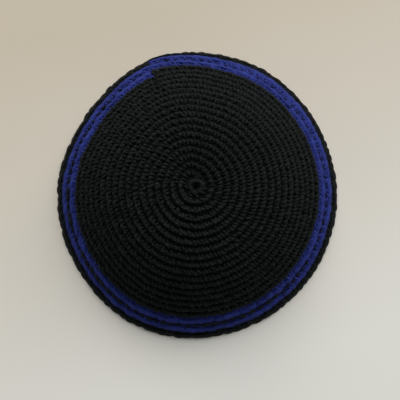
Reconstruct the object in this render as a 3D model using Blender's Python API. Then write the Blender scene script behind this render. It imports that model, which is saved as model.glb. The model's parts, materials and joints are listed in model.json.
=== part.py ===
"""A crocheted skullcap lying on its rim.

It is one spiral of thick yarn: black, then two blue rounds, then a black edge. Metres, +Z up. The cap rests on
z = 0 with the middle of its bounding box over the origin. The seam, where the colours change, is at the back, +Y.
"""

import math

import bmesh
import bpy

# Driving sizes
RIM_RADIUS = 0.0800  # mean radius of the rim, over the outline table
CROWN_HEIGHT = 0.0420  # from the surface it rests on to the top of the crown
WALL = 0.0030  # thickness of the crocheted cloth at the top
FOOT_WIDTH = 0.0036  # width of the flattened underside of the edge round
STRIPE_WIDTH = 0.0051  # one blue round, measured down the slope
EDGE_WIDTH = 0.0050  # the black edge round, measured down the slope
TAIL_WIDTH = 0.0008  # what is left of the edge round where it is fastened off
RIDGE_HEIGHT = 0.0006  # how far a round's middle stands proud, and the grooves beside it lie low
START_HOLE_RADIUS = 0.0010  # hole left by the ring that the work starts from
LEAN_X = -0.0006  # the soft top has settled off the middle of the rim by this much
LEAN_Y = -0.0040
GAP = 0.0003  # clearance between two pieces that are looped together in the real thing

# Counts and bearings
CROWN_ROUNDS = 18
SECTORS = 60  # columns of faces in one turn
SEAM_BEARING = 110.0  # degrees from +X, counter-clockwise seen from above
TAPER_SPAN = 34.0  # degrees over which the edge round narrows to its tail

# Cross-section of the dome from the top to the rim
PROFILE = [
    # radius share, height share
    (0.00, 1.000),
    (0.20, 0.968),
    (0.40, 0.867),
    (0.60, 0.680),
    (0.75, 0.455),
    (0.86, 0.263),
    (0.95, 0.107),
    (1.00, 0.000),
]

# Outline of the rim seen from above, counter-clockwise from +X
OUTLINE = [
    # bearing in degrees, share of RIM_RADIUS
    (0.0, 0.989),
    (20.0, 0.987),
    (40.0, 0.994),
    (60.0, 1.012),
    (80.0, 1.019),
    (95.0, 1.024),
    (108.0, 1.028),
    (120.0, 1.008),
    (135.0, 0.978),
    (150.0, 0.967),
    (170.0, 0.980),
    (190.0, 0.987),
    (215.0, 0.993),
    (240.0, 1.019),
    (260.0, 1.023),
    (285.0, 1.010),
    (310.0, 1.000),
    (335.0, 0.993),
]

# Finishes: colour as linear red, green and blue, then roughness
BLACK_YARN = ((0.012, 0.012, 0.013), 0.85)
BLUE_YARN = ((0.030, 0.040, 0.330), 0.80)

# Grid lines of one round
ROUND_LINES = [
    # line, how far it stands off the cloth as a share of RIDGE_HEIGHT
    ("groove", -1.0),
    ("ridge", 1.0),
]
HALF_ROUNDS = len(ROUND_LINES)
PROFILE_SAMPLES = 240


def lerp(start, end, share):
    return start + (end - start) * share


def ease(share):
    """Smooth step from 0 to 1."""
    share = min(max(share, 0.0), 1.0)
    return share * share * (3.0 - 2.0 * share)


def curve_at(table, place):
    """Value of a smooth curve through a table of (place, value) rows."""
    last = len(table) - 1
    k = 0
    while k < last - 1 and place > table[k + 1][0]:
        k += 1

    def slope(i):
        before, after = table[max(i - 1, 0)], table[min(i + 1, last)]
        return (after[1] - before[1]) / (after[0] - before[0])

    (x0, y0), (x1, y1) = table[k], table[k + 1]
    width = x1 - x0
    t = (place - x0) / width
    bend = t * (1.0 - t) * width * ((1.0 - t) * slope(k) - t * slope(k + 1))
    return lerp(y0, y1, ease(t)) + bend


def outline_at(bearing):
    """Share of RIM_RADIUS at a bearing: the outline table, closed into a ring."""
    before = [(angle - 360.0, share) for angle, share in OUTLINE[-2:]]
    after = [(angle + 360.0, share) for angle, share in OUTLINE[:2]]
    return curve_at(before + OUTLINE + after, bearing % 360.0)


def slope_profile():
    """The dome's cross-section as rows of (way down the slope, radius share, height share)."""
    table = [(row[0], row[1]) for row in PROFILE]
    # The mirrored row keeps the curve level where it crosses the top.
    table.insert(0, (-PROFILE[1][0], PROFILE[1][1]))
    rows = [(0.0, 0.0, 1.0)]
    for i in range(1, PROFILE_SAMPLES + 1):
        radius = i / PROFILE_SAMPLES
        height = curve_at(table, radius)
        way, last_radius, last_height = rows[-1]
        step = math.hypot((radius - last_radius) * RIM_RADIUS, (height - last_height) * CROWN_HEIGHT)
        rows.append((way + step, radius, height))
    return rows


SLOPE = slope_profile()
SLOPE_LENGTH = SLOPE[-1][0]


def section_at(way):
    """(radius share, height share) at a length down the slope from the top."""
    way = min(max(way, 0.0), SLOPE_LENGTH)
    low, high = 0, len(SLOPE) - 1
    while high - low > 1:
        middle = (low + high) // 2
        if SLOPE[middle][0] > way:
            high = middle
        else:
            low = middle
    share = (way - SLOPE[low][0]) / (SLOPE[high][0] - SLOPE[low][0])
    return (
        lerp(SLOPE[low][1], SLOPE[high][1], share),
        lerp(SLOPE[low][2], SLOPE[high][2], share),
    )


def surface_point(bearing, way, depth, ridge=0.0):
    """Point of the cloth: depth 0 is its outer face and 1 its inner face, and ridge lifts the point off it."""
    radius_share, height_share = section_at(way)
    step = SLOPE_LENGTH / PROFILE_SAMPLES
    ahead, behind = section_at(way + step), section_at(way - step)
    run = (ahead[0] - behind[0]) * RIM_RADIUS
    drop = (behind[1] - ahead[1]) * CROWN_HEIGHT
    tilt = math.atan2(drop, run)
    radius = lerp(RIM_RADIUS, RIM_RADIUS - FOOT_WIDTH, depth) * outline_at(bearing) * radius_share
    radius += ridge * math.sin(tilt)
    height = lerp(CROWN_HEIGHT, CROWN_HEIGHT - WALL, depth) * height_share + ridge * math.cos(tilt)
    angle = math.radians(bearing)
    return (
        radius * math.cos(angle) + LEAN_X * height_share,
        radius * math.sin(angle) + LEAN_Y * height_share,
        height,
    )


def taper_at(turn):
    """0 along the edge round, easing to 1 at its tail; turn is the share of a turn past the seam."""
    span = TAPER_SPAN / 360.0
    return ease((turn - (1.0 - span)) / span)


def edge_width_at(turn):
    return lerp(EDGE_WIDTH, TAIL_WIDTH, taper_at(turn))


def stripes_start_at(turn):
    """Length down the slope where the first blue round begins."""
    return SLOPE_LENGTH - edge_width_at(turn) - 2.0 * STRIPE_WIDTH


def crown_way(rounds, turn):
    """Length down the slope at a number of rounds from the starting hole, inside the crown."""
    even = (stripes_start_at(turn) - START_HOLE_RADIUS) / (CROWN_ROUNDS + turn)
    at_seam = (stripes_start_at(0.0) - START_HOLE_RADIUS) / CROWN_ROUNDS
    pitch = lerp(even, at_seam, taper_at(turn))
    if rounds <= CROWN_ROUNDS:
        return START_HOLE_RADIUS + rounds * pitch
    share = (rounds - CROWN_ROUNDS) / turn
    return lerp(START_HOLE_RADIUS + CROWN_ROUNDS * pitch, stripes_start_at(turn), share)


# Grid lines that follow the spiral, counted in half rounds from the starting hole
CROWN_LINE = CROWN_ROUNDS * HALF_ROUNDS
STRIPE_LINE = CROWN_LINE + HALF_ROUNDS
EDGE_LINE = STRIPE_LINE + HALF_ROUNDS
RIM_LINE = EDGE_LINE + HALF_ROUNDS


def line_way(line, turn):
    """Length down the slope of a grid line."""
    if line <= CROWN_LINE:
        return crown_way(line / HALF_ROUNDS + turn, turn)
    if line <= EDGE_LINE:
        return stripes_start_at(turn) + (line - CROWN_LINE) / HALF_ROUNDS * STRIPE_WIDTH
    return SLOPE_LENGTH - (RIM_LINE - line) / HALF_ROUNDS * edge_width_at(turn)


class Cloth:
    """One stretch of the spiral as a closed solid, between two of its grid lines."""

    def __init__(self, first, last, from_hole=False):
        self.first = first
        self.last = last
        self.from_hole = from_hole
        self.points = []
        self.faces = []
        self.index = {}

    def place(self, line, column, depth):
        """Position of a grid point, drawn in from the neighbouring pieces by half the gap."""
        turn = column / SECTORS
        bearing = SEAM_BEARING + 360.0 * turn
        way = line_way(line, turn)
        ridge = RIDGE_HEIGHT * ROUND_LINES[line % HALF_ROUNDS][1]
        if line == RIM_LINE:
            ridge = 0.0
        elif line == self.last:
            way -= 0.5 * GAP
        elif line == self.first and not self.from_hole:
            way += 0.5 * GAP
        if column == SECTORS:
            radius = section_at(way)[0] * RIM_RADIUS
            bearing -= math.degrees(GAP / radius)
        return surface_point(bearing, way, depth, ridge * (1 - depth))

    def corner(self, line, column, depth):
        """Number of a grid point. In the crown the end of each round is the start of the next one."""
        if self.from_hole and column == SECTORS and line + HALF_ROUNDS <= self.last:
            line, column = line + HALF_ROUNDS, 0
        key = (line, column, depth)
        if key not in self.index:
            self.index[key] = len(self.points)
            self.points.append(self.place(line, column, depth))
        return self.index[key]

    def hole_corner(self, column, depth):
        """Number of a point on the rim of the starting ring's hole."""
        column %= SECTORS
        key = ("hole", column, depth)
        if key not in self.index:
            self.index[key] = len(self.points)
            bearing = SEAM_BEARING + 360.0 * column / SECTORS
            self.points.append(surface_point(bearing, START_HOLE_RADIUS, depth))
        return self.index[key]

    def add_face(self, corners, flip):
        self.faces.append(corners[::-1] if flip else corners)

    def start_line(self, depth):
        """First grid line of a face. In the crown the inner face has only whole rounds."""
        return self.first + depth if self.from_hole else self.first

    def add_sheet(self, depth, step):
        """The outer face at depth 0 or the inner one at depth 1, with a line at every step-th half round."""
        flip = depth == 1
        for line in range(self.start_line(depth), self.last, step):
            for column in range(SECTORS):
                corners = [
                    self.corner(line, column, depth),
                    self.corner(line + step, column, depth),
                    self.corner(line + step, column + 1, depth),
                    self.corner(line, column + 1, depth),
                ]
                self.add_face(corners, flip)

    def add_hole_border(self, depth, step):
        """Faces between the hole and the first round; the last one also closes on the next round's start."""
        flip = depth == 1
        start = self.start_line(depth)
        for column in range(SECTORS):
            next_column = column + 1
            corners = [
                self.hole_corner(column, depth),
                self.corner(start, column, depth),
                self.corner(start, next_column, depth),
            ]
            if next_column == SECTORS:
                for line in range(start + HALF_ROUNDS - step, start - 1, -step):
                    corners.append(self.corner(line, 0, depth))
            corners.append(self.hole_corner(next_column, depth))
            self.add_face(corners, flip)

    def add_wall(self, line, flip):
        """The side wall along a grid line."""
        for column in range(SECTORS):
            corners = [
                self.corner(line, column, 0),
                self.corner(line, column, 1),
                self.corner(line, column + 1, 1),
                self.corner(line, column + 1, 0),
            ]
            self.add_face(corners, flip)

    def add_end(self, column, flip):
        """The end face across the last round of the stretch."""
        first = self.last - HALF_ROUNDS
        outer = [self.corner(line, column, 0) for line in range(first, self.last + 1)]
        inner = [self.corner(line, column, 1) for line in (self.last, first)]
        self.add_face(outer + inner, flip)

    def add_hole_wall(self):
        for column in range(SECTORS):
            corners = [
                self.hole_corner(column, 0),
                self.hole_corner(column + 1, 0),
                self.hole_corner(column + 1, 1),
                self.hole_corner(column, 1),
            ]
            self.add_face(corners, flip=False)

    def build(self):
        """Makes the faces of the whole closed solid."""
        self.add_sheet(depth=0, step=1)
        self.add_sheet(depth=1, step=HALF_ROUNDS)
        self.add_wall(self.last, flip=False)
        self.add_end(SECTORS, flip=False)
        if self.from_hole:
            self.add_hole_border(depth=0, step=1)
            self.add_hole_border(depth=1, step=HALF_ROUNDS)
            self.add_hole_wall()
        else:
            self.add_wall(self.first, flip=True)
            self.add_end(0, flip=True)


def make_material(name, finish):
    colour, roughness = finish
    material = bpy.data.materials.new(name)
    material.use_nodes = True
    shader = material.node_tree.nodes["Principled BSDF"]
    shader.inputs["Base Color"].default_value = (*colour, 1.0)
    shader.inputs["Roughness"].default_value = roughness
    shader.inputs["Metallic"].default_value = 0.0
    return material


def make_object(name, cloth, material, offset):
    mesh = bpy.data.meshes.new(name)
    points = [(x - offset[0], y - offset[1], z) for x, y, z in cloth.points]
    mesh.from_pydata(points, [], cloth.faces)
    shape = bmesh.new()
    shape.from_mesh(mesh)
    bmesh.ops.triangulate(shape, faces=shape.faces)
    shape.to_mesh(mesh)
    shape.free()
    mesh.shade_smooth()
    mesh.set_sharp_from_angle(angle=math.radians(50.0))
    mesh.materials.append(material)
    thing = bpy.data.objects.new(name, mesh)
    bpy.context.scene.collection.objects.link(thing)
    return thing


def middle_of(cloths):
    """Middle of the bounding box seen from above."""
    points = [point for cloth in cloths for point in cloth.points]
    return [0.5 * (min(p[axis] for p in points) + max(p[axis] for p in points)) for axis in (0, 1)]


def main():
    for thing in list(bpy.data.objects):
        bpy.data.objects.remove(thing, do_unlink=True)
    pieces = [
        ("crown", Cloth(1, CROWN_LINE, from_hole=True), "black_yarn", BLACK_YARN),
        ("stripe_inner", Cloth(CROWN_LINE, STRIPE_LINE), "blue_yarn", BLUE_YARN),
        ("stripe_outer", Cloth(STRIPE_LINE, EDGE_LINE), "blue_yarn", BLUE_YARN),
        ("edge_round", Cloth(EDGE_LINE, RIM_LINE), "black_yarn", BLACK_YARN),
    ]
    for _, cloth, _, _ in pieces:
        cloth.build()
    offset = middle_of([cloth for _, cloth, _, _ in pieces])
    materials = {}
    for name, cloth, yarn, finish in pieces:
        if yarn not in materials:
            materials[yarn] = make_material(yarn, finish)
        make_object(name, cloth, materials[yarn], offset)


main()
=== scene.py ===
"""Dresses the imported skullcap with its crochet, its yarns, a floor, soft light and the camera.

Metres, +Z up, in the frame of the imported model: the cap rests on z = 0, its seam is at the back, +Y, and its
rounds run counter-clockwise. Every stitch is made of plump strands of yarn, planted along the spiral by
Geometry Nodes, over a closed web of yarn that keeps the form of the solids they replace.
"""

import json
import logging
import math
from dataclasses import dataclass, field, fields
from enum import Enum

import bmesh
import bpy
import numpy as np
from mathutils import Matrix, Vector

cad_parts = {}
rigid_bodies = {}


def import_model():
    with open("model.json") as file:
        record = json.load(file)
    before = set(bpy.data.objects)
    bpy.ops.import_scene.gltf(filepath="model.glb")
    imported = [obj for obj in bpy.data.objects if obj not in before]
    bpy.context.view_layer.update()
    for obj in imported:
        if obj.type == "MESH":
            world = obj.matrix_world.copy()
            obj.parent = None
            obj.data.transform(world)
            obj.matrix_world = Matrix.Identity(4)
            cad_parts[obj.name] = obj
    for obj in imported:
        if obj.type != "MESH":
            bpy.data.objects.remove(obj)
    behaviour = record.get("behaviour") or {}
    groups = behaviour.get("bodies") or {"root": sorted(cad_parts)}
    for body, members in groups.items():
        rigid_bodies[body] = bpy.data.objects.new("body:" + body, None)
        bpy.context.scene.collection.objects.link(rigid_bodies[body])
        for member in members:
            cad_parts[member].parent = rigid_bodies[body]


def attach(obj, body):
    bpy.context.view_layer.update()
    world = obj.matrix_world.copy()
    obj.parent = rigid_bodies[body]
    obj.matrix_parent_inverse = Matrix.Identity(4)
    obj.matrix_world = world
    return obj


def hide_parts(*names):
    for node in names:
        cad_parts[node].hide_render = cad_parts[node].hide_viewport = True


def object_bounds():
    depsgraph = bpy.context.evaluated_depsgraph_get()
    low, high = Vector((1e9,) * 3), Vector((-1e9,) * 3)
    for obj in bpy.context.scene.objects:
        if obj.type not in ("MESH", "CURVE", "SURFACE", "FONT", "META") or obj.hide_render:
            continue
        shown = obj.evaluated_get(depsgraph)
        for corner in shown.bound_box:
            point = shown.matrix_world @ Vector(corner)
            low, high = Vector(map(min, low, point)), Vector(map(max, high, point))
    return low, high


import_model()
CAD_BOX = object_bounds()

LOG = logging.getLogger("skullcap")

BODY = "root"
FULL_TURN = 360.0
TIP_SHARE = 0.55
UV_LAYER = "UVMap"
TONE = "tone"
OUTWARD = "outward"
ALONG = "along"
STRETCH = "stretch"
Number = float | np.ndarray
Triple = tuple[float, float, float]


class Yarn(Enum):
    """The two yarns, by the record's names for their material slots."""

    BLACK = "black_yarn"
    BLUE = "blue_yarn"


class Side(Enum):
    """Which leg of a stitch a strand is: the one worked first or last."""

    FIRST = -1.0
    LAST = 1.0


def lerp(start: Number, end: Number, share: Number) -> Number:
    """Value between start and end; takes numbers or arrays."""
    return start + (end - start) * share


def ease(share: Number) -> Number:
    """Smooth step from 0 to 1; takes a number or an array."""
    share = np.clip(share, 0.0, 1.0)
    return share * share * (3.0 - 2.0 * share)


def curve_at(table: list[tuple[float, float]], place: float) -> float:
    """Reads a smooth curve through a table.

    Args:
        table: rows of (place, value), in rising order of place.
        place: where to read it.

    Returns:
        The value there.
    """
    last = len(table) - 1
    k = 0
    while k < last - 1 and place > table[k + 1][0]:
        k += 1

    def slope(i: int) -> float:
        """Slope at a row, from its neighbours."""
        before, after = table[max(i - 1, 0)], table[min(i + 1, last)]
        return (after[1] - before[1]) / (after[0] - before[0])

    (x0, y0), (x1, y1) = table[k], table[k + 1]
    width = x1 - x0
    t = (place - x0) / width
    bend = t * (1.0 - t) * width * ((1.0 - t) * slope(k) - t * slope(k + 1))
    return lerp(y0, y1, float(ease(t))) + bend


@dataclass
class CapForm:
    """The skullcap's form, with the sizes and tables of the CAD model, in metres and degrees."""

    rim_radius: float = 0.0800
    crown_height: float = 0.0420
    wall: float = 0.0030
    foot_width: float = 0.0036
    lean_x: float = -0.0006
    lean_y: float = -0.0040
    samples: int = 240
    # Rows of radius share and height share.
    profile: tuple[tuple[float, float], ...] = (
        (0.00, 1.000), (0.20, 0.968), (0.40, 0.867), (0.60, 0.680),
        (0.75, 0.455), (0.86, 0.263), (0.95, 0.107), (1.00, 0.000),
    )
    # Rows of bearing and share of rim_radius.
    outline: tuple[tuple[float, float], ...] = (
        (0.0, 0.989), (20.0, 0.987), (40.0, 0.994), (60.0, 1.012), (80.0, 1.019), (95.0, 1.024),
        (108.0, 1.028), (120.0, 1.008), (135.0, 0.978), (150.0, 0.967), (170.0, 0.980), (190.0, 0.987),
        (215.0, 0.993), (240.0, 1.019), (260.0, 1.023), (285.0, 1.010), (310.0, 1.000), (335.0, 0.993),
    )
    ways: np.ndarray = field(init=False)
    radius_shares: np.ndarray = field(init=False)
    height_shares: np.ndarray = field(init=False)
    bearings: np.ndarray = field(init=False)
    outline_shares: np.ndarray = field(init=False)
    middle: np.ndarray = field(init=False)

    def __post_init__(self) -> None:
        """Samples the cross-section and the outline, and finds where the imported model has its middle."""
        table = list(self.profile)
        # The mirrored row keeps the curve level where it crosses the top.
        table.insert(0, (-self.profile[1][0], self.profile[1][1]))
        radii = np.arange(self.samples + 1) / self.samples
        heights = np.array([1.0] + [curve_at(table, float(radius)) for radius in radii[1:]])
        steps = np.hypot(np.diff(radii) * self.rim_radius, np.diff(heights) * self.crown_height)
        self.ways = np.concatenate([[0.0], np.cumsum(steps)])
        self.radius_shares = radii
        self.height_shares = heights
        before = [(angle - FULL_TURN, share) for angle, share in self.outline[-2:]]
        after = [(angle + FULL_TURN, share) for angle, share in self.outline[:2]]
        closed = [*before, *self.outline, *after]
        self.bearings = np.arange(int(FULL_TURN) + 1.0)
        self.outline_shares = np.array([curve_at(closed, float(bearing)) for bearing in self.bearings])
        self.middle = np.zeros(3)
        rim = self.point(self.bearings, np.full(len(self.bearings), self.length))
        low, high = CAD_BOX
        cad_middle = 0.5 * (np.array(low) + np.array(high))
        self.middle[:2] = 0.5 * (rim.min(axis=0) + rim.max(axis=0))[:2] - cad_middle[:2]

    @property
    def length(self) -> float:
        """Length down the slope from the top to the rim."""
        return float(self.ways[-1])

    def point(
        self, bearing: np.ndarray, way: np.ndarray, depth: float = 0.0, lift: float = 0.0
    ) -> np.ndarray:
        """Points of the cloth.

        Args:
            bearing: degrees from +X, counter-clockwise from above.
            way: length down the slope from the top.
            depth: 0 on the outer face, 1 on the inner one.
            lift: how far the points stand off that face.

        Returns:
            An array with a row of x, y, z for each point.
        """
        way = np.clip(way, 0.0, self.length)

        def shares(reach: float, table: np.ndarray) -> np.ndarray:
            """One of the sampled curves, read this far past the points."""
            return np.interp(way + reach, self.ways, table)

        radius_share = shares(0.0, self.radius_shares)
        height_share = shares(0.0, self.height_shares)
        step = self.length / self.samples
        run = shares(step, self.radius_shares) - shares(-step, self.radius_shares)
        drop = shares(-step, self.height_shares) - shares(step, self.height_shares)
        tilt = np.arctan2(drop * self.crown_height, run * self.rim_radius)
        outline = np.interp(np.mod(bearing, FULL_TURN), self.bearings, self.outline_shares)
        radius = lerp(self.rim_radius, self.rim_radius - self.foot_width, depth) * outline * radius_share
        radius = radius + lift * np.sin(tilt)
        height = lerp(self.crown_height, self.crown_height - self.wall, depth) * height_share
        height = height + lift * np.cos(tilt)
        angle = np.radians(bearing)
        x = radius * np.cos(angle) + self.lean_x * height_share
        y = radius * np.sin(angle) + self.lean_y * height_share
        return np.stack([x, y, height], axis=-1) - self.middle


@dataclass
class Spiral:
    """The path of the work: one row of stitches for each turn, from the starting hole to the rim."""

    form: CapForm
    hole_radius: float = 0.0010
    ring_reach: float = 0.0036
    stripe_width: float = 0.0051
    edge_width: float = 0.0050
    tail_width: float = 0.0008
    seam_bearing: float = 110.0
    taper_span: float = 34.0
    crown_rounds: int = 18
    stripe_rounds: int = 2
    loose_share: float = 0.13
    loose_end: float = 0.55
    loose_fade: float = 0.25
    tight_turn: float = 0.835
    tight_span: float = 0.085
    tight_by: float = 0.0020
    growth_span: float = 0.20
    growth_share: float = 0.60
    first_stitches: int = 6
    most_stitches: int = 96
    increases: float = 5.618
    first_increase: float = 0.5
    lean_back: float = 0.16
    new_blur: float = 1.5
    old_blur: float = 3.0
    samples_per_turn: int = 720
    phase_turns: np.ndarray = field(init=False)
    phase: np.ndarray = field(init=False)

    def __post_init__(self) -> None:
        """Counts the stitches along the path.

        A column of stitches runs on from round to round, leaning back a little, and each increase starts a
        new one.
        """
        rounds = self.crown_rounds + self.stripe_rounds + 1
        self.phase_turns = np.linspace(0.0, rounds, self.samples_per_turn * rounds + 1)
        self.phase = np.zeros(len(self.phase_turns))
        added = np.arange(self.most_stitches - self.first_stitches)
        first = np.arange(self.first_stitches) / self.first_stitches
        columns = np.concatenate([first, self.first_increase + added / self.increases])
        for column in columns:
            place = column
            blur = self.new_blur
            while place < rounds + 1.0:
                spacing = 1.0 / self.around(place)
                self.phase += 0.5 + 0.5 * np.tanh((self.phase_turns - place) / (blur * spacing))
                place += 1.0 - self.lean_back * spacing
                blur = self.old_blur

    def around(self, turn: float) -> float:
        """Stitches in a full turn at a number of turns along the path."""
        count = self.first_stitches + self.increases * (turn - self.first_increase)
        return min(max(count, self.first_stitches), self.most_stitches)

    def taper(self, turn: Number) -> Number:
        """0 along the edge round, easing to 1 at its tail."""
        span = self.taper_span / FULL_TURN
        return ease((turn - (1.0 - span)) / span)

    def growth(self, turn: Number) -> Number:
        """Share of a round's growth that is done at a share of its turn: most of it comes near the seam."""
        late = ease((turn - (1.0 - self.growth_span)) / self.growth_span)
        return lerp(turn, late, self.growth_share)

    def edge_width_at(self, turn: Number) -> Number:
        """Width of the edge round, which narrows to its tail."""
        return lerp(self.edge_width, self.tail_width, self.taper(turn))

    def tightening(self, turn: Number) -> Number:
        """How much the last blue round spreads over the edge round, where that is worked tightly."""
        return self.tight_by * np.exp(-(((turn - self.tight_turn) / self.tight_span) ** 2))

    def stripe_width_at(self, turn: Number) -> Number:
        """Width of a blue round, which is worked a little looser over its first part."""
        fade = 1.0 - ease((turn - self.loose_end) / self.loose_fade)
        return self.stripe_width * (1.0 + self.loose_share * fade)

    def stripes_start(self, turn: Number) -> Number:
        """Length down the slope where the first blue round begins."""
        return self.form.length - self.edge_width_at(turn) - self.stripe_rounds * self.stripe_width_at(turn)

    def line(self, rounds: int, turn: Number) -> Number:
        """Length down the slope of the line between two rounds.

        Args:
            rounds: whole rounds worked inside the line.
            turn: share of a turn past the seam.

        Returns:
            The length, as a number or an array like turn.
        """
        edge_round = self.crown_rounds + self.stripe_rounds
        if rounds > edge_round:
            return self.form.length + 0.0 * turn
        if rounds >= self.crown_rounds:
            spread = self.tightening(turn) if rounds == edge_round else 0.0
            widths = (rounds - self.crown_rounds) * self.stripe_width_at(turn)
            return self.stripes_start(turn) + widths + spread
        grown = self.growth(turn)
        even = (self.stripes_start(turn) - self.hole_radius) / (self.crown_rounds + grown)
        at_seam = (self.stripes_start(0.0) - self.hole_radius) / self.crown_rounds
        pitch = lerp(even, at_seam, self.taper(turn))
        return self.hole_radius + (rounds + grown) * pitch

    def stitches_in(self, rounds: int, shift: float = 0.0) -> tuple[np.ndarray, np.ndarray]:
        """The stitches of a round, in order of work.

        Args:
            rounds: which round, counted from 0.
            shift: how far along the round they are moved, in stitches.

        Returns:
            The share of a turn past the seam of each, and how many such stitches would fill a turn there.
        """
        first, last = np.interp([rounds, rounds + 1], self.phase_turns, self.phase)
        counts = np.arange(math.ceil(first - 0.5), math.ceil(last - 0.5)) + 0.5
        counts = counts[(counts + shift >= first) & (counts + shift < last)] + shift
        turns = np.interp(counts, self.phase, self.phase_turns)
        ahead = np.interp(counts + 0.5, self.phase, self.phase_turns)
        behind = np.interp(counts - 0.5, self.phase, self.phase_turns)
        return turns - rounds, 1.0 / (ahead - behind)

    def bearing(self, turn: Number) -> Number:
        """Degrees from +X at a share of a turn past the seam."""
        return self.seam_bearing + FULL_TURN * turn


@dataclass
class Planting:
    """Where strands are planted: their places, the directions they face and their stretch."""

    places: np.ndarray
    outward: np.ndarray
    along: np.ndarray
    stretch: np.ndarray

    @staticmethod
    def joined(parts: list["Planting"]) -> "Planting":
        """One planting that holds all of these."""
        columns = ([getattr(part, row.name) for part in parts] for row in fields(Planting))
        return Planting(*(np.concatenate(column) for column in columns))


def unit(vectors: np.ndarray) -> np.ndarray:
    """The vectors at length 1."""
    return vectors / np.linalg.norm(vectors, axis=-1, keepdims=True)


def placed(name: str, data: bpy.types.ID) -> bpy.types.Object:
    """Makes an object at the origin and links it to the scene.

    Args:
        name: its name.
        data: its mesh, light or camera.

    Returns:
        The object.
    """
    thing = bpy.data.objects.new(name, data)
    bpy.context.scene.collection.objects.link(thing)
    return thing


def closed_mesh(name: str, shape: bmesh.types.BMesh) -> bpy.types.Mesh:
    """Turns a closed shape into a smooth mesh whose faces point outwards.

    Args:
        name: the mesh's name.
        shape: the shape, which is freed.

    Returns:
        The mesh.
    """
    bmesh.ops.recalc_face_normals(shape, faces=shape.faces)
    mesh = bpy.data.meshes.new(name)
    shape.to_mesh(mesh)
    shape.free()
    mesh.shade_smooth()
    return mesh


@dataclass
class StitchGauge:
    """The size of the stitch that the strands are drawn for."""

    width: float = 0.0050
    height: float = 0.0043
    probe: float = 0.0004
    turn_probe: float = 0.002

    def plant(
        self,
        spiral: Spiral,
        rounds: int,
        shift: float = 0.0,
        place: float = 0.5,
        depth: float = 0.0,
        relief: float = 1.0,
    ) -> Planting:
        """Plants one strand for each stitch of a round.

        Args:
            spiral: the path of the work.
            rounds: which round, counted from 0.
            shift: how far along the round the strands are moved, in stitches.
            place: where they sit across the round, from 0 at its inner line to 1 at its outer one.
            depth: 0 for the outer face, facing out, and 1 for the inner face, facing in.
            relief: stretch along the direction that they face.

        Returns:
            The planting, in order of work.
        """
        turn, around = spiral.stitches_in(rounds, shift)
        inner = np.maximum(spiral.line(rounds, turn), spiral.ring_reach)
        outer = spiral.line(rounds + 1, turn)
        way = lerp(inner, outer, place)
        bearing = spiral.bearing(turn)
        form = spiral.form
        places = form.point(bearing, way, depth)
        ends = []
        for beside in (np.minimum(turn + self.turn_probe, 1.0), np.maximum(turn - self.turn_probe, 0.0)):
            way_beside = lerp(spiral.line(rounds, beside), spiral.line(rounds + 1, beside), place)
            ends.append(form.point(spiral.bearing(beside), way_beside, depth))
        along = unit(ends[0] - ends[1])
        down = form.point(bearing, way + self.probe, depth) - form.point(bearing, way - self.probe, depth)
        outward = unit(np.cross(down, along))
        radius = np.linalg.norm(places[:, :2] + form.middle[:2], axis=1)
        width = math.tau * radius / around
        stretch = np.stack(
            [width / self.width, (outer - inner) / self.height, np.full(len(turn), relief)],
            axis=-1,
        )
        return Planting(places, outward if depth < 0.5 else -outward, along, stretch)


def strand_mesh(name: str, path: list[Triple], radii: list[float], sides: int) -> bpy.types.Mesh:
    """Makes a closed plump strand along a path, with a UV map that follows the yarn.

    Args:
        name: name of the mesh.
        path: points of its middle line.
        radii: its radius at each of those points.
        sides: number of faces round it.

    Returns:
        The mesh: its UV map has u round the yarn and v along it, in yarn diameters.
    """
    points = [Vector(point) for point in path]
    last = len(points) - 1
    shape = bmesh.new()
    layer = shape.loops.layers.uv.new(UV_LAYER)
    side_way = Vector((1.0, 0.0, 0.0))
    rings = []
    lengths = [0.0]
    for i in range(last):
        lengths.append(lengths[-1] + (points[i + 1] - points[i]).length / (2.0 * max(radii)))
    for i, point in enumerate(points):
        way = (points[min(i + 1, last)] - points[max(i - 1, 0)]).normalized()
        across = (side_way - way * side_way.dot(way)).normalized()
        up = way.cross(across)
        side_way = across
        ring = []
        for k in range(sides):
            angle = math.tau * k / sides
            away = across * math.cos(angle) + up * math.sin(angle)
            ring.append(shape.verts.new(point + radii[i] * away))
        rings.append(ring)
    for i in range(last):
        for k in range(sides):
            following = (k + 1) % sides
            near, far = rings[i], rings[i + 1]
            face = shape.faces.new((near[k], near[following], far[following], far[k]))
            for loop, (u, v) in zip(face.loops, ((k, i), (k + 1, i), (k + 1, i + 1), (k, i + 1))):
                loop[layer].uv = (u / sides, lengths[v])
    for ring, v in ((rings[0][::-1], 0), (rings[-1], last)):
        cap = shape.faces.new(ring)
        for loop in cap.loops:
            loop[layer].uv = (0.0, lengths[v])
    return closed_mesh(name, shape)


@dataclass(frozen=True)
class ArcShape:
    """A short strand that runs along the round, in metres at the stitch's own size.

    Attributes:
        half: half its length, as a share of the stitch's width.
        rise: height of its middle.
        dip: how much lower its ends are.
        slant: how far its end lies towards the crown's centre.
        bow: how far both ends bend that way.
        tip: how much higher its end is than its start, halved.
        share: thickness, as a share of the yarn's.
    """

    half: float
    rise: float
    dip: float = 0.0
    slant: float = 0.0
    bow: float = 0.0
    tip: float = 0.0
    share: float = 1.0


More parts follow.
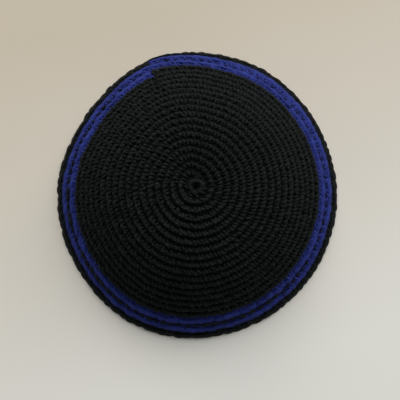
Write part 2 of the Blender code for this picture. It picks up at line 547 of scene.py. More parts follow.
@dataclass(frozen=True)
class StitchShapes:
    """The strands of one stitch: x along the round, y towards the crown's centre, z out of the cloth."""

    gauge: StitchGauge
    thickness: float = 0.00100
    sides: int = 6
    segments: int = 6
    base_x: float = -0.0007
    first_top_x: float = -0.0019
    last_top_x: float = 0.0022
    leg_apart: float = 0.0003
    first_share: float = 0.90
    last_share: float = 1.00
    base_reach: float = 0.47
    top_reach: float = 0.30
    base_sink: float = 0.0016
    top_sink: float = 0.0014
    arch: float = 0.0014
    head: ArcShape = ArcShape(half=0.78, rise=-0.0004, dip=0.0009, slant=-0.0005, share=1.30)
    bead: ArcShape = ArcShape(half=0.37, rise=-0.0002, dip=0.0012, slant=-0.0007, share=1.30)
    bar: ArcShape = ArcShape(half=0.60, rise=-0.0007, dip=0.0009, bow=0.0005, share=0.85)
    carried: ArcShape = ArcShape(half=0.40, rise=-0.0001, dip=0.0006, slant=-0.0003, share=0.90)
    rim_loop: ArcShape = ArcShape(half=0.58, rise=-0.0010, slant=0.0003, bow=0.0010, tip=-0.0003, share=1.1)
    fibre_radius: float = 0.000045
    fibre_sides: int = 3
    fibre_path: tuple[Triple, ...] = (
        (0.0, 0.0, -0.0003),
        (0.0005, 0.0001, 0.0003),
        (0.0013, 0.0, 0.0006),
        (0.0020, -0.0003, 0.0005),
    )

    def tapered(self, share: float) -> list[float]:
        """Radii of a strand that thins to its ends.

        Args:
            share: its thickness, as a share of the yarn's.

        Returns:
            The radius at each point of its path.
        """
        full = self.thickness * share
        swells = [math.sin(math.pi * i / self.segments) ** 0.5 for i in range(self.segments + 1)]
        return [full * lerp(TIP_SHARE, 1.0, swell) for swell in swells]

    def leg(self, side: Side) -> bpy.types.Mesh:
        """One of the two legs, which start together at the stitch's base and spread to its top.

        Args:
            side: which leg. The last is the fuller one, and it leans the way of the work.

        Returns:
            Its mesh.
        """
        last = side is Side.LAST
        top_x = self.last_top_x if last else self.first_top_x
        path = []
        for i in range(self.segments + 1):
            q = i / self.segments
            x = lerp(self.base_x, top_x, q) + side.value * self.leg_apart
            y = self.gauge.height * lerp(self.base_reach, -self.top_reach, q)
            z = lerp(-self.base_sink, -self.top_sink, q) + self.arch * math.sin(math.pi * q)
            path.append((x, y, z))
        share = self.last_share if last else self.first_share
        return strand_mesh(f"leg_{side.name.lower()}", path, self.tapered(share), self.sides)

    def arc(self, name: str, shape: ArcShape) -> bpy.types.Mesh:
        """A strand along the round.

        Args:
            name: the mesh's name.
            shape: how it runs.

        Returns:
            Its mesh.
        """
        half = shape.half * self.gauge.width
        path = []
        for i in range(self.segments + 1):
            q = 2.0 * i / self.segments - 1.0
            x = half * q
            y = shape.slant * q + shape.bow * q * q
            z = shape.rise + shape.tip * q - shape.dip * q * q
            path.append((x, y, z))
        return strand_mesh(name, path, self.tapered(shape.share), self.sides)

    def fibre(self) -> bpy.types.Mesh:
        """One loose fibre that stands out of the yarn."""
        radii = [self.fibre_radius] * len(self.fibre_path)
        return strand_mesh("fibre", list(self.fibre_path), radii, self.fibre_sides)


class NodeDesk:
    """Adds nodes to a tree and wires them up."""

    def __init__(self, tree: bpy.types.NodeTree) -> None:
        """Keeps the tree to work on."""
        self.tree = tree

    def feed(self, socket: bpy.types.NodeSocket, value: object) -> None:
        """Fills an input of a node.

        Args:
            socket: the input.
            value: the output socket it is linked to, or the plain value it is set to.
        """
        if isinstance(value, bpy.types.NodeSocket):
            self.tree.links.new(value, socket)
        else:
            socket.default_value = value

    def add(
        self, kind: str, feeds: dict[str | int, object] | None = None, **settings: object
    ) -> bpy.types.Node:
        """Adds a node.

        Args:
            kind: Blender's name for the kind of node.
            feeds: what its inputs get, by their names or places: output sockets or plain values.
            settings: properties of the node to set.

        Returns:
            The node.
        """
        node = self.tree.nodes.new(kind)
        for name, value in settings.items():
            setattr(node, name, value)
        for name, value in (feeds or {}).items():
            self.feed(node.inputs[name], value)
        return node

    def maths(self, operation: str, first: object, second: object = 0.0) -> bpy.types.NodeSocket:
        """Works out a number from two numbers or output sockets, and returns the socket that holds it."""
        return self.add("ShaderNodeMath", {0: first, 1: second}, operation=operation).outputs[0]

    def mix(self, share: bpy.types.NodeSocket, first: object, second: object) -> bpy.types.NodeSocket:
        """Mixes two colours.

        Args:
            share: an output socket with the share of the second colour.
            first: an output socket, or red, green and blue.
            second: the same.

        Returns:
            The socket that holds the mixture.
        """
        node = self.add("ShaderNodeMix", {0: share}, data_type="RGBA", clamp_factor=True)
        colours = [socket for socket in node.inputs if socket.type == "RGBA"]
        for socket, value in zip(colours, (first, second)):
            self.feed(socket, value if isinstance(value, bpy.types.NodeSocket) else (*value, 1.0))
        return [socket for socket in node.outputs if socket.type == "RGBA"][0]


class PlantingTree:
    """The Geometry Nodes tree that plants a strand on every point of a mesh."""

    # Places of the sockets that a random value node has for plain numbers.
    NUMBER_MIN = 2
    NUMBER_MAX = 3
    NUMBER_OUT = 1
    def __init__(self) -> None:
        """Builds the tree."""
        self.tree = bpy.data.node_groups.new("Plant strands", "GeometryNodeTree")
        self.tree.is_modifier = True
        self.sockets: dict[str, str] = {}
        for name, kind in (
            ("Geometry", "NodeSocketGeometry"),
            ("Strand", "NodeSocketObject"),
            ("Yarn", "NodeSocketMaterial"),
            ("Seed", "NodeSocketInt"),
            ("Sway", "NodeSocketFloat"),
            ("Size change", "NodeSocketFloat"),
            ("Wander", "NodeSocketFloat"),
        ):
            socket = self.tree.interface.new_socket(name=name, in_out="INPUT", socket_type=kind)
            self.sockets[name] = socket.identifier
        self.tree.interface.new_socket(name="Geometry", in_out="OUTPUT", socket_type="NodeSocketGeometry")
        self.build()

    @staticmethod
    def random_vector(desk: NodeDesk, given: bpy.types.Node, name: str) -> bpy.types.NodeSocket:
        """Draws a vector for each point.

        Args:
            desk: where the nodes go.
            given: the tree's inputs.
            name: the input that says how far each part of the vector may be from 0.

        Returns:
            The socket with the vector.
        """
        scaled = {0: (1.0, 1.0, 1.0), "Scale": given.outputs[name]}
        most = desk.add("ShaderNodeVectorMath", scaled, operation="SCALE")
        least = desk.add("ShaderNodeVectorMath", {0: most.outputs[0], "Scale": -1.0}, operation="SCALE")
        limits = {"Min": least.outputs[0], "Max": most.outputs[0], "Seed": given.outputs["Seed"]}
        return desk.add("FunctionNodeRandomValue", limits, data_type="FLOAT_VECTOR").outputs["Value"]

    def build(self) -> None:
        """Adds and wires the nodes."""
        desk = NodeDesk(self.tree)
        given = desk.add("NodeGroupInput")
        shown = {"Object": given.outputs["Strand"]}
        strand = desk.add("GeometryNodeObjectInfo", shown, transform_space="ORIGINAL")
        reads = {
            name: desk.add("GeometryNodeInputNamedAttribute", {"Name": name}, data_type="FLOAT_VECTOR")
            for name in (OUTWARD, ALONG, STRETCH)
        }
        axes = {
            "Primary Axis": reads[OUTWARD].outputs["Attribute"],
            "Secondary Axis": reads[ALONG].outputs["Attribute"],
        }
        facing = desk.add("FunctionNodeAxesToRotation", axes, primary_axis="Z", secondary_axis="X")
        swayed = desk.add("FunctionNodeEulerToRotation", {0: self.random_vector(desk, given, "Sway")})
        turns = {"Rotation": facing.outputs[0], "Rotate By": swayed.outputs[0]}
        turned = desk.add("FunctionNodeRotateRotation", turns, rotation_space="LOCAL")
        sizes = {
            self.NUMBER_MIN: desk.maths("SUBTRACT", 1.0, given.outputs["Size change"]),
            self.NUMBER_MAX: desk.maths("ADD", 1.0, given.outputs["Size change"]),
            "Seed": given.outputs["Seed"],
        }
        size = desk.add("FunctionNodeRandomValue", sizes, data_type="FLOAT")
        scaled = {0: reads[STRETCH].outputs["Attribute"], "Scale": size.outputs[self.NUMBER_OUT]}
        scale = desk.add("ShaderNodeVectorMath", scaled, operation="SCALE")
        moves = {"Geometry": given.outputs["Geometry"], "Offset": self.random_vector(desk, given, "Wander")}
        moved = desk.add("GeometryNodeSetPosition", moves)
        plants = {
            "Points": moved.outputs["Geometry"],
            "Instance": strand.outputs["Geometry"],
            "Rotation": turned.outputs[0],
            "Scale": scale.outputs[0],
        }
        plant = desk.add("GeometryNodeInstanceOnPoints", plants)
        tone = desk.add("FunctionNodeRandomValue", {"Seed": given.outputs["Seed"]}, data_type="FLOAT")
        stored = {"Geometry": plant.outputs[0], "Name": TONE, "Value": tone.outputs[self.NUMBER_OUT]}
        kept = desk.add("GeometryNodeStoreNamedAttribute", stored, data_type="FLOAT", domain="INSTANCE")
        real = desk.add("GeometryNodeRealizeInstances", {0: kept.outputs[0]})
        dress = {"Geometry": real.outputs[0], "Material": given.outputs["Yarn"]}
        dressed = desk.add("GeometryNodeSetMaterial", dress)
        desk.add("NodeGroupOutput", {"Geometry": dressed.outputs[0]})

    def plant(
        self,
        planting: Planting,
        strand: bpy.types.Mesh,
        yarn: bpy.types.Material,
        seed: int,
        sway: float = 0.15,
        size_change: float = 0.13,
        wander: float = 0.00026,
    ) -> bpy.types.Object:
        """Plants a strand on every place of a planting.

        Args:
            planting: the places.
            strand: the strand's mesh.
            yarn: the material it gets.
            seed: seed of the small random differences.
            sway: most that a strand is turned at random, in radians.
            size_change: most that its size changes at random, as a share.
            wander: most that it is moved at random, along each axis.

        Returns:
            An object with one plain mesh.
        """
        carrier = placed("strand_shape", strand)
        points = bpy.data.meshes.new("strand_places")
        points.from_pydata(planting.places.tolist(), [], [])
        for name in (OUTWARD, ALONG, STRETCH):
            attribute = points.attributes.new(name, "FLOAT_VECTOR", "POINT")
            attribute.data.foreach_set("vector", getattr(planting, name).astype(np.float32).ravel())
        planted = placed("planted", points)
        modifier = planted.modifiers.new("Plant strands", "NODES")
        modifier.node_group = self.tree
        for name, value in (
            ("Strand", carrier),
            ("Yarn", yarn),
            ("Seed", seed),
            ("Sway", sway),
            ("Size change", size_change),
            ("Wander", wander),
        ):
            modifier[self.sockets[name]] = value
        graph = bpy.context.evaluated_depsgraph_get()
        mesh = bpy.data.meshes.new_from_object(planted.evaluated_get(graph))
        planted.modifiers.clear()
        planted.data = mesh
        for name in (OUTWARD, ALONG, STRETCH):
            if name in mesh.attributes:
                mesh.attributes.remove(mesh.attributes[name])
        bpy.data.objects.remove(carrier, do_unlink=True)
        bpy.data.meshes.remove(points)
        return planted


class YarnGroups:
    """The shader node groups that both yarns use."""

    FIBRE_DETAIL = 2.0
    DRIFT_DETAIL = 3.0
    def __init__(self) -> None:
        """Builds the groups once."""
        self.twist = self.build_twist()
        self.fibre = self.build_fibre()

    @staticmethod
    def sockets(tree: bpy.types.NodeTree, inputs: dict[str, float], outputs: tuple[str, ...]) -> None:
        """Gives a group its named inputs and outputs.

        Args:
            tree: the group.
            inputs: names and values at first.
            outputs: names.
        """
        for name, value in inputs.items():
            socket = tree.interface.new_socket(name=name, in_out="INPUT", socket_type="NodeSocketFloat")
            socket.default_value = value
        for name in outputs:
            tree.interface.new_socket(name=name, in_out="OUTPUT", socket_type="NodeSocketFloat")

    def build_twist(self) -> bpy.types.NodeTree:
        """The plies that wind round the yarn, read from the UV map.

        Returns:
            The group, with the plies' height.
        """
        tree = bpy.data.node_groups.new("Plied yarn", "ShaderNodeTree")
        self.sockets(tree, {"Plies": 4.0, "Twist": 0.9}, ("Ply height",))
        desk = NodeDesk(tree)
        given = desk.add("NodeGroupInput")
        layer = desk.add("ShaderNodeUVMap", uv_map=UV_LAYER)
        parts = desk.add("ShaderNodeSeparateXYZ", {0: layer.outputs["UV"]})
        round_yarn = desk.maths("MULTIPLY", parts.outputs["X"], given.outputs["Plies"])
        along_yarn = desk.maths("MULTIPLY", parts.outputs["Y"], given.outputs["Twist"])
        along_plies = desk.maths("MULTIPLY", along_yarn, given.outputs["Plies"])
        phase = desk.maths("ADD", round_yarn, along_plies)
        wave = desk.maths("SINE", desk.maths("MULTIPLY", phase, math.pi))
        desk.add("NodeGroupOutput", {"Ply height": desk.maths("ABSOLUTE", wave)})
        return tree

    def build_fibre(self) -> bpy.types.NodeTree:
        """Fine fibres and a slow drift of colour.

        Returns:
            The group, with the fibres and the drift, both from 0 to 1.
        """
        tree = bpy.data.node_groups.new("Yarn fibres", "ShaderNodeTree")
        self.sockets(tree, {"Fibre scale": 2600.0, "Drift scale": 60.0}, ("Fibres", "Drift"))
        desk = NodeDesk(tree)
        given = desk.add("NodeGroupInput")
        place = desk.add("ShaderNodeTexCoord")
        results = {}
        for effect, scale, detail in (
            ("Fibres", "Fibre scale", self.FIBRE_DETAIL),
            ("Drift", "Drift scale", self.DRIFT_DETAIL),
        ):
            feeds = {"Vector": place.outputs["Object"], "Scale": given.outputs[scale], "Detail": detail}
            results[effect] = desk.add("ShaderNodeTexNoise", feeds).outputs["Fac"]
        desk.add("NodeGroupOutput", results)
        return tree


@dataclass(frozen=True)
class YarnFinish:
    """How a yarn looks. Colours are linear red, green and blue."""

    yarn: Yarn
    # shade is painted shade: the base colour darkens to it in the grooves between plies, partly by random
    # fibre noise.
    shade: Triple
    body: Triple
    # bloom is a painted highlight: a lighter colour for fibre ends catching the light, laid on random strands
    # and patches. It also tints the sheen.
    bloom: Triple
    roughness: float
    specular: float
    sheen: float
    sheen_roughness: float = 0.45
    plies: float = 4.0
    twist: float = 0.45
    # ply_share is how much of the painted groove shade follows the plies; the rest follows random fibre noise.
    ply_share: float = 0.55
    ply_strength: float = 0.9
    ply_depth: float = 0.00028
    fibre_strength: float = 0.6
    fibre_depth: float = 0.00012
    fibre_roughness: float = 0.15
    # bloom_share is how far the painted highlight lightens the random strands and patches.
    bloom_share: float = 0.50

    def material(self, groups: YarnGroups) -> bpy.types.Material:
        """Makes the yarn's material.

        Args:
            groups: the shared node groups.

        Returns:
            The material.
        """
        material = bpy.data.materials.new(self.yarn.value)
        material.use_nodes = True
        desk = NodeDesk(material.node_tree)
        shader = material.node_tree.nodes["Principled BSDF"]
        shader.inputs["Specular IOR Level"].default_value = self.specular
        shader.inputs["Sheen Weight"].default_value = self.sheen
        shader.inputs["Sheen Roughness"].default_value = self.sheen_roughness
        shader.inputs["Sheen Tint"].default_value = (*self.bloom, 1.0)
        winding = {"Plies": self.plies, "Twist": self.twist}
        twist = desk.add("ShaderNodeGroup", winding, node_tree=groups.twist)
        fibre = desk.add("ShaderNodeGroup", node_tree=groups.fibre)
        tone = desk.add("ShaderNodeAttribute", attribute_name=TONE, attribute_type="GEOMETRY")
        # Painted shade: the base colour runs from shade in the ply grooves to body on the ply crests, partly
        # by random fibre noise.
        painted_light_share = desk.maths("MULTIPLY", twist.outputs["Ply height"], self.ply_share)
        painted_light_share = desk.maths("ADD", painted_light_share, desk.maths("MULTIPLY", fibre.outputs["Fibres"], 1.0 - self.ply_share))
        body = desk.mix(painted_light_share, self.shade, self.body)
        # Painted highlight: random strands and patches are lightened towards bloom.
        glint_patches = desk.maths("MULTIPLY", tone.outputs["Fac"], fibre.outputs["Drift"])
        bloom = desk.mix(desk.maths("MULTIPLY", glint_patches, self.bloom_share), body, self.bloom)
        desk.feed(shader.inputs["Base Color"], bloom)
        rough = desk.maths("MULTIPLY", fibre.outputs["Fibres"], self.fibre_roughness)
        desk.feed(shader.inputs["Roughness"], desk.maths("ADD", rough, self.roughness))
        plies = {
            "Strength": self.ply_strength,
            "Distance": self.ply_depth,
            "Height": twist.outputs["Ply height"],
        }
        fuzz = {
            "Strength": self.fibre_strength,
            "Distance": self.fibre_depth,
            "Height": fibre.outputs["Fibres"],
            "Normal": desk.add("ShaderNodeBump", plies).outputs["Normal"],
        }
        desk.feed(shader.inputs["Normal"], desk.add("ShaderNodeBump", fuzz).outputs["Normal"])
        return material


BLACK_YARN = YarnFinish(
    Yarn.BLACK,
    # shade: painted shade in the ply grooves.
    shade=(0.0055, 0.0069, 0.0071),
    body=(0.0070, 0.0086, 0.0088),
    # bloom: painted highlight on random strands and patches.
    bloom=(0.0130, 0.0160, 0.0162),
    roughness=0.45,
    specular=0.08,
    sheen=0.06,
)
BLUE_YARN = YarnFinish(
    Yarn.BLUE,
    # shade: painted shade in the ply grooves.
    shade=(0.0065, 0.0110, 0.0760),
    body=(0.0215, 0.0340, 0.2280),
    # bloom: painted highlight on random strands and patches.
    bloom=(0.0410, 0.0680, 0.3600),
    roughness=0.75,
    specular=0.20,
    sheen=0.10,
)


@dataclass
class Workshop:
    """What every sub-assembly works with."""

    form: CapForm
    spiral: Spiral
    gauge: StitchGauge
    shapes: StitchShapes
    tree: PlantingTree
    yarns: dict[Yarn, bpy.types.Material]

    def piece(
        self, name: str, parts: list[bpy.types.Object], yarn: Yarn, nodes: tuple[str, ...] = ()
    ) -> bpy.types.Object:
        """Joins objects into one piece that rests on the floor, parents it to the cap's body and hides the CAD
        nodes it stands for.

        Args:
            name: the piece's name.
            parts: the objects.
            yarn: its yarn; not used.
            nodes: the CAD nodes it stands for.

        Returns:
            The piece.
        """
        for thing in bpy.context.scene.objects:
            thing.select_set(False)
        for part in parts:
            part.select_set(True)
        bpy.context.view_layer.objects.active = parts[0]
        if len(parts) > 1:
            bpy.ops.object.join()
        piece = parts[0]
        piece.name = name
        piece.data.name = name
        count = len(piece.data.vertices)
        spots = np.empty(count * 3, np.float32)
        piece.data.vertices.foreach_get("co", spots)
        spots = spots.reshape(-1, 3)
        spots[:, 2] = np.maximum(spots[:, 2], 0.0)
        piece.data.vertices.foreach_set("co", spots.ravel())
        piece.data.update()
        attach(piece, BODY)
        if nodes:
            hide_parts(*nodes)
        piece.data.calc_loop_triangles()
        LOG.info("%s: %d triangles", piece.name, len(piece.data.loop_triangles))
        return piece


@dataclass
class RoundRun:
    """A run of rounds in one yarn, from the first up to the last, which stands for one CAD node."""

    shop: Workshop
    name: str
    first: int
    last: int
    yarn: Yarn
    node: str
    seed: int


@dataclass
class WrongSide(RoundRun):
    """The closed inner layer of yarn under the stitches of one node, with the bars on its inside."""

    outer_depth: float = 0.20
    inner_depth: float = 0.90
    columns: int = 240
    rows_per_round: int = 2
    crease: float = 50.0
    bar_place: float = 0.45

    def web(self) -> bpy.types.Object:
        """Makes the closed layer, a sheet with its faces, side walls and end walls.

        Returns:
            An object with the mesh.
        """
        spiral = self.shop.spiral
        turn = np.arange(self.columns + 1) / self.columns
        bearing = spiral.bearing(turn)
        start = spiral.line(self.first, turn) if self.first else np.full_like(turn, spiral.hole_radius)
        end = spiral.line(self.last, turn)
        rows = (self.last - self.first) * self.rows_per_round
        points = []
        for depth in (self.outer_depth, self.inner_depth):
            for row in range(rows + 1):
                way = lerp(start, end, row / rows)
                points.append(self.shop.form.point(bearing, way, depth))
        spots = np.concatenate(points)
        across = self.columns + 1
        layer = (rows + 1) * across
        faces = []
        for row in range(rows):
            for column in range(self.columns):
                a = row * across + column
                b = a + across
                faces.append((a, b, b + 1, a + 1))
                faces.append((a + layer, a + layer + 1, b + layer + 1, b + layer))
        for column in range(self.columns):
            a = column
            faces.append((a, a + 1, a + 1 + layer, a + layer))
            b = rows * across + column
            faces.append((b, b + layer, b + 1 + layer, b + 1))
        for row in range(rows):
            a = row * across
            faces.append((a, a + layer, a + across + layer, a + across))
            b = row * across + self.columns
            faces.append((b, b + across, b + across + layer, b + layer))
        mesh = bpy.data.meshes.new(self.name)
        mesh.from_pydata(spots.tolist(), [], faces)
        uv = mesh.uv_layers.new(name=UV_LAYER)
        scale = 1.0 / (2.0 * self.shop.shapes.thickness)
        corners = np.empty(len(mesh.loops), np.int32)
        mesh.loops.foreach_get("vertex_index", corners)
        flat = spots[corners]
        uv.data.foreach_set("uv", np.stack([flat[:, 0] * scale, flat[:, 1] * scale], axis=-1).ravel())
        mesh.shade_smooth()
        mesh.set_sharp_from_angle(angle=math.radians(self.crease))
        mesh.materials.append(self.shop.yarns[self.yarn])
        return placed(self.name, mesh)

    def build(self) -> bpy.types.Object:
        """Makes the web and plants the bars on its inner face.

        Returns:
            The piece.
        """
        shop = self.shop
        web = self.web()
        span = range(self.first, self.last)
        place = self.bar_place
        bars = Planting.joined([shop.gauge.plant(shop.spiral, k, place=place, depth=1.0) for k in span])
        bar = shop.shapes.arc("bar", shop.shapes.bar)
        parts = [web, shop.tree.plant(bars, bar, shop.yarns[self.yarn], self.seed)]
        return shop.piece(self.name, parts, self.yarn, (self.node,))


@dataclass
class StitchedRounds(RoundRun):
    """The right side of a run of rounds: the legs and heads of their stitches.

    With beads each head is two short turns of yarn, and without it is one long loop. The very first round
    lies flat round the starting ring, so it shows no heads.
    """

    beads: bool
    bead_shift: float = 0.25
    centre_relief: float = 1.40
    rim_relief: float = 0.56
    head_place: float = 0.60
    bead_sway: float = 0.24
    loop_sway: float = 0.06
    loop_leg_depth: float = 0.20

    def relief(self, rounds: int) -> float:
        """The rounds stand out most near the centre."""
        share = rounds / (self.shop.spiral.crown_rounds + self.shop.spiral.stripe_rounds)
        return lerp(self.centre_relief, self.rim_relief, share)

    def build(self) -> bpy.types.Object:
        """Plants the strands and joins them.

        Returns:
            The piece.
        """
        shop = self.shop
        span = range(self.first, self.last)
        depth = 0.0 if self.beads else self.loop_leg_depth
        legs = Planting.joined(
            [shop.gauge.plant(shop.spiral, k, depth=depth, relief=self.relief(k)) for k in span]
        )
        shifts = (-self.bead_shift, self.bead_shift) if self.beads else (0.0,)
        heads = Planting.joined(
            [
                shop.gauge.plant(shop.spiral, k, shift, self.head_place, relief=self.relief(k))
                for k in span
                for shift in shifts
                if k
            ]
        )
        shape = shop.shapes.bead if self.beads else shop.shapes.head
        head = shop.shapes.arc("head", shape)
        sway = self.bead_sway if self.beads else self.loop_sway
        material = shop.yarns[self.yarn]
        parts = [
            shop.tree.plant(legs, shop.shapes.leg(side), material, self.seed + i, sway)
            for i, side in enumerate(Side)
        ]
        parts.append(shop.tree.plant(heads, head, material, self.seed + len(Side), sway))
        return shop.piece(self.name, parts, self.yarn, (self.node,))


@dataclass
class StartRing:
    """The ring that the work starts from, with its dark hole. It swells where the yarn's tail is laid in."""

    shop: Workshop
    radius: float = 0.0030
    thickness: float = 0.00115
    lift: float = 0.0007
    swell: float = 0.45
    swell_bearing: float = 15.0
    swell_sharpness: float = 3.0
    wobble: float = 0.06
    wobble_waves: float = 3.0
    wobble_phase: float = 0.6
    ripple: float = 0.08
    ripple_waves: float = 6.0
    segments: int = 40
    sides: int = 12

    def build(self) -> bpy.types.Object:
        """Makes the ring as a closed tube.

        Returns:
            The piece.
        """
        form = self.shop.form
        centre = form.point(np.array([0.0]), np.array([0.0]))[0]
        shape = bmesh.new()
        layer = shape.loops.layers.uv.new(UV_LAYER)
        rings = []
        for i in range(self.segments):
            angle = math.tau * i / self.segments
            out = Vector((math.cos(angle), math.sin(angle), 0.0))
            near = 0.5 + 0.5 * math.cos(angle - math.radians(self.swell_bearing))
            swell = 1.0 + self.swell * near**self.swell_sharpness
            wobble = 1.0 + self.wobble * math.sin(self.wobble_waves * angle + self.wobble_phase)
            middle = Vector(centre) + out * (self.radius * wobble + self.thickness * (swell - 1.0))
            middle.z += self.lift - self.thickness
            ring = []
            for k in range(self.sides):
                round_angle = math.tau * k / self.sides
                away = out * math.cos(round_angle) + Vector((0.0, 0.0, 1.0)) * math.sin(round_angle)
                bump = swell * (1.0 + self.ripple * math.sin(self.ripple_waves * angle))
                ring.append(shape.verts.new(middle + away * self.thickness * bump))
            rings.append(ring)
        for i in range(self.segments):
            following_ring = rings[(i + 1) % self.segments]
            for k in range(self.sides):
                following = (k + 1) % self.sides
                face = shape.faces.new(
                    (rings[i][k], following_ring[k], following_ring[following], rings[i][following])
                )
                scale = math.tau * self.radius / self.segments / (2.0 * self.thickness)
                for loop, (u, v) in zip(face.loops, ((k, i), (k, i + 1), (k + 1, i + 1), (k + 1, i))):
                    loop[layer].uv = (u / self.sides, v * scale)
        mesh = closed_mesh("start_ring", shape)
        mesh.materials.append(self.shop.yarns[Yarn.BLACK])
        return self.shop.piece("start_ring", [placed("start_ring", mesh)], Yarn.BLACK, ("crown",))


@dataclass
class RimChain:
    """The chain of loops along the very rim."""

    shop: Workshop
    seed: int = 90
    link_place: float = 0.90

    def build(self) -> bpy.types.Object:
        """Plants a link for each stitch of the edge round.

        Returns:
            The piece.
        """
        shop = self.shop
        edge = shop.spiral.crown_rounds + shop.spiral.stripe_rounds
        links = shop.gauge.plant(shop.spiral, edge, place=self.link_place)
        links.stretch[:, 1] = 1.0
        link = shop.shapes.arc("rim_link", shop.shapes.rim_loop)
        part = shop.tree.plant(links, link, shop.yarns[Yarn.BLACK], self.seed)
        return shop.piece("rim_chain", [part], Yarn.BLACK, ("edge_round",))


@dataclass
class CarriedYarn:
    """The black yarn that is carried inside the blue rounds and shows in the valley between them."""

    shop: Workshop
    seed: int = 70
    sway: float = 0.15
    size_change: float = 0.25
    tight_bearing: float = 60.0
    tight_share: float = 0.40
    loose_share: float = 1.25

    def build(self) -> bpy.types.Object:
        """Plants a short dash for each stitch. Where the work is tightest least of it shows.

        Returns:
            The piece.
        """
        shop = self.shop
        dashes = shop.gauge.plant(shop.spiral, shop.spiral.crown_rounds, shift=0.5, place=1.0)
        dashes.stretch[:, 1] = 1.0
        turn, _ = shop.spiral.stitches_in(shop.spiral.crown_rounds, 0.5)
        away = np.radians(shop.spiral.bearing(turn) - self.tight_bearing)
        dashes.stretch *= lerp(self.tight_share, self.loose_share, ease(0.5 - 0.5 * np.cos(away)))[:, None]
        dash = shop.shapes.arc("dash", shop.shapes.carried)
        part = shop.tree.plant(dashes, dash, shop.yarns[Yarn.BLACK], self.seed, self.sway, self.size_change)
        return shop.piece("carried_black_yarn", [part], Yarn.BLACK)


@dataclass
class LooseFibres:
    """The short fibres that stand out of one yarn."""

    shop: Workshop
    name: str
    first: int
    last: int
    yarn: Yarn
    count: int
    seed: int
    lean: float = 0.45
    shortest: float = 0.5
    longest: float = 1.2

    def build(self) -> bpy.types.Object:
        """Scatters the fibres over the rounds, by area, and plants them.

        Returns:
            The piece.
        """
        shop = self.shop
        chance = np.random.default_rng(self.seed)
        shares = np.sqrt(chance.uniform(self.first**2, self.last**2, self.count))
        whole = np.floor(shares).astype(int)
        turn = chance.uniform(0.0, 1.0, self.count)
        ways = np.array([shop.spiral.line(int(k), float(t)) for k, t in zip(whole, turn)])
        outer = np.array([shop.spiral.line(int(k) + 1, float(t)) for k, t in zip(whole, turn)])
        way = lerp(ways, outer, shares - whole)
        bearing = shop.spiral.bearing(turn)
        places = shop.form.point(bearing, way)
        outward = unit(shop.form.point(bearing, way, lift=shop.gauge.probe) - places)
        outward = unit(outward + self.lean * chance.uniform(-1.0, 1.0, places.shape))
        along = unit(np.cross(outward, unit(chance.normal(size=places.shape))))
        stretch = chance.uniform(self.shortest, self.longest, (self.count, 1)) * np.ones((1, 3))
        planting = Planting(places, outward, along, stretch)
        part = shop.tree.plant(planting, shop.shapes.fibre(), shop.yarns[self.yarn], self.seed)
        return shop.piece(self.name, [part], self.yarn)


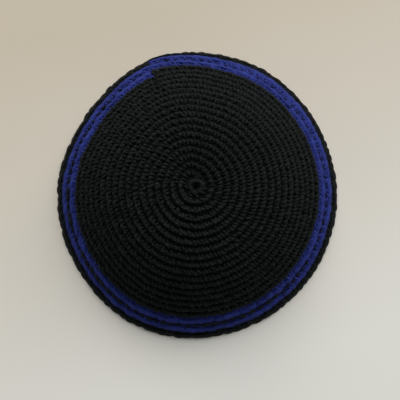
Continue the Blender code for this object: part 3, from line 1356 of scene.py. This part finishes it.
@dataclass
class Studio:
    """The floor, the soft light and the camera."""

    floor_side: float = 6.0
    # Painted light on the floor: its colour runs from floor_far at the back left to floor_near at the front
    # right, along floor_bearing; floor_reach sets how quickly it changes.
    floor_far: Triple = (0.640, 0.555, 0.440)
    floor_near: Triple = (0.835, 0.812, 0.755)
    floor_reach: float = 0.11
    floor_bearing: float = 288.0
    floor_unevenness: float = 0.25
    floor_roughness: float = 0.7
    floor_specular: float = 0.2
    mottle_scale: float = 6.0
    mottle_detail: float = 3.0
    target: Triple = (0.0016, -0.0046, 0.0)
    distance: float = 0.517
    tilt: float = 8.7
    focal_pixels: float = 917.8
    image_pixels: float = 400.0
    sensor: float = 36.0
    window_energy: float = 110.0
    window_size: float = 2.6
    window_place: Triple = (-0.77, 3.19, 2.20)
    side_energy: float = 90.0
    side_size: float = 2.6
    side_place: Triple = (2.44, 2.19, 2.20)
    horizon_light: Triple = (0.20, 0.22, 0.22)
    zenith_light: Triple = (0.19, 0.20, 0.20)

    def floor(self) -> None:
        """Makes the pale floor. Its colour holds painted light: darker and warmer towards the back left,
        lighter towards the front right, with a random mottle.
        """
        half = 0.5 * self.floor_side
        mesh = bpy.data.meshes.new("floor")
        corners = [(-half, -half, 0.0), (half, -half, 0.0), (half, half, 0.0), (-half, half, 0.0)]
        mesh.from_pydata(corners, [], [(0, 1, 2, 3)])
        material = bpy.data.materials.new("floor")
        material.use_nodes = True
        desk = NodeDesk(material.node_tree)
        shader = material.node_tree.nodes["Principled BSDF"]
        shader.inputs["Specular IOR Level"].default_value = self.floor_specular
        place = desk.add("ShaderNodeTexCoord")
        towards = math.radians(self.floor_bearing)
        way = {0: place.outputs["Object"], 1: (math.cos(towards), math.sin(towards), 0.0)}
        across = desk.add("ShaderNodeVectorMath", way, operation="DOT_PRODUCT")
        grain = {"Vector": place.outputs["Object"], "Scale": self.mottle_scale, "Detail": self.mottle_detail}
        mottle = desk.add("ShaderNodeTexNoise", grain)
        # Painted light: the floor's colour gets lighter along floor_bearing.
        fade = desk.maths("MULTIPLY", across.outputs["Value"], 0.5 / self.floor_reach)
        uneven = desk.maths("MULTIPLY", mottle.outputs["Fac"], self.floor_unevenness)
        share = desk.maths("ADD", desk.maths("ADD", fade, uneven), 0.5 - 0.5 * self.floor_unevenness)
        desk.feed(shader.inputs["Base Color"], desk.mix(share, self.floor_far, self.floor_near))
        shader.inputs["Roughness"].default_value = self.floor_roughness
        mesh.materials.append(material)
        placed("floor", mesh)

    def lamp(self, name: str, energy: float, size: float, place: Triple) -> None:
        """Hangs a soft square light that faces the cap.

        Args:
            name: the light's name.
            energy: its power in watts.
            size: length of its sides.
            place: where it hangs.
        """
        lamp = bpy.data.lights.new(name, "AREA")
        lamp.energy = energy
        lamp.size = size
        thing = placed(name, lamp)
        thing.location = place
        thing.rotation_euler = (-Vector(place)).to_track_quat("-Z", "Y").to_euler()

    def light(self) -> None:
        """Sets up two broad soft lights, from the back and from the right, and an even sky."""
        self.lamp("window", self.window_energy, self.window_size, self.window_place)
        self.lamp("side_window", self.side_energy, self.side_size, self.side_place)
        world = bpy.data.worlds.new("sky")
        world.use_nodes = True
        background = world.node_tree.nodes["Background"]
        desk = NodeDesk(world.node_tree)
        way = desk.add("ShaderNodeTexCoord")
        parts = desk.add("ShaderNodeSeparateXYZ", {0: way.outputs["Generated"]})
        sky = desk.mix(parts.outputs["Z"], self.horizon_light, self.zenith_light)
        desk.feed(background.inputs["Color"], sky)
        bpy.context.scene.world = world

    def camera(self) -> None:
        """Places the camera at the photograph's angle: nearly overhead, a little to the front."""
        data = bpy.data.cameras.new("camera")
        data.sensor_width = self.sensor
        data.lens = self.focal_pixels * self.sensor / self.image_pixels
        data.dof.use_dof = False
        camera = placed("camera", data)
        tilt = math.radians(self.tilt)
        away = Vector((0.0, -math.sin(tilt), math.cos(tilt))) * self.distance
        camera.location = Vector(self.target) + away
        camera.rotation_euler = (tilt, 0.0, 0.0)
        bpy.context.scene.camera = camera

    def build(self) -> None:
        """Makes all three and sets plain display colours."""
        self.floor()
        self.light()
        self.camera()
        view = bpy.context.scene.view_settings
        view.view_transform = "Standard"
        view.look = "None"


def main() -> None:
    """Builds every sub-assembly in order."""
    logging.basicConfig(level=logging.INFO, format="%(message)s")
    form = CapForm()
    spiral = Spiral(form)
    gauge = StitchGauge()
    groups = YarnGroups()
    yarns = {finish.yarn: finish.material(groups) for finish in (BLACK_YARN, BLUE_YARN)}
    shop = Workshop(form, spiral, gauge, StitchShapes(gauge), PlantingTree(), yarns)
    crown = spiral.crown_rounds
    crown_top = 13
    outer_stripe = crown + 1
    edge = crown + spiral.stripe_rounds
    StartRing(shop).build()
    rounds = (
        ("crown_top_rounds", 0, crown_top, Yarn.BLACK, "crown", 10, True),
        ("crown_side_rounds", crown_top, crown, Yarn.BLACK, "crown", 20, True),
        ("stripe_inner_round", crown, outer_stripe, Yarn.BLUE, "stripe_inner", 30, False),
        ("stripe_outer_round", outer_stripe, edge, Yarn.BLUE, "stripe_outer", 40, False),
        ("edge_stitches", edge, edge + 1, Yarn.BLACK, "edge_round", 50, False),
    )
    for row in rounds:
        StitchedRounds(shop, *row).build()
    insides = (
        ("crown_inside", 0, crown, Yarn.BLACK, "crown", 60),
        ("stripe_inner_inside", crown, outer_stripe, Yarn.BLUE, "stripe_inner", 61),
        ("stripe_outer_inside", outer_stripe, edge, Yarn.BLUE, "stripe_outer", 62),
        ("edge_inside", edge, edge + 1, Yarn.BLACK, "edge_round", 63),
    )
    for row in insides:
        WrongSide(shop, *row).build()
    RimChain(shop).build()
    CarriedYarn(shop).build()
    LooseFibres(shop, "black_fibres", 1, crown, Yarn.BLACK, 5200, 80).build()
    LooseFibres(shop, "blue_fibres", crown, edge, Yarn.BLUE, 1600, 81).build()
    Studio().build()


if __name__ == "__main__":
    main()
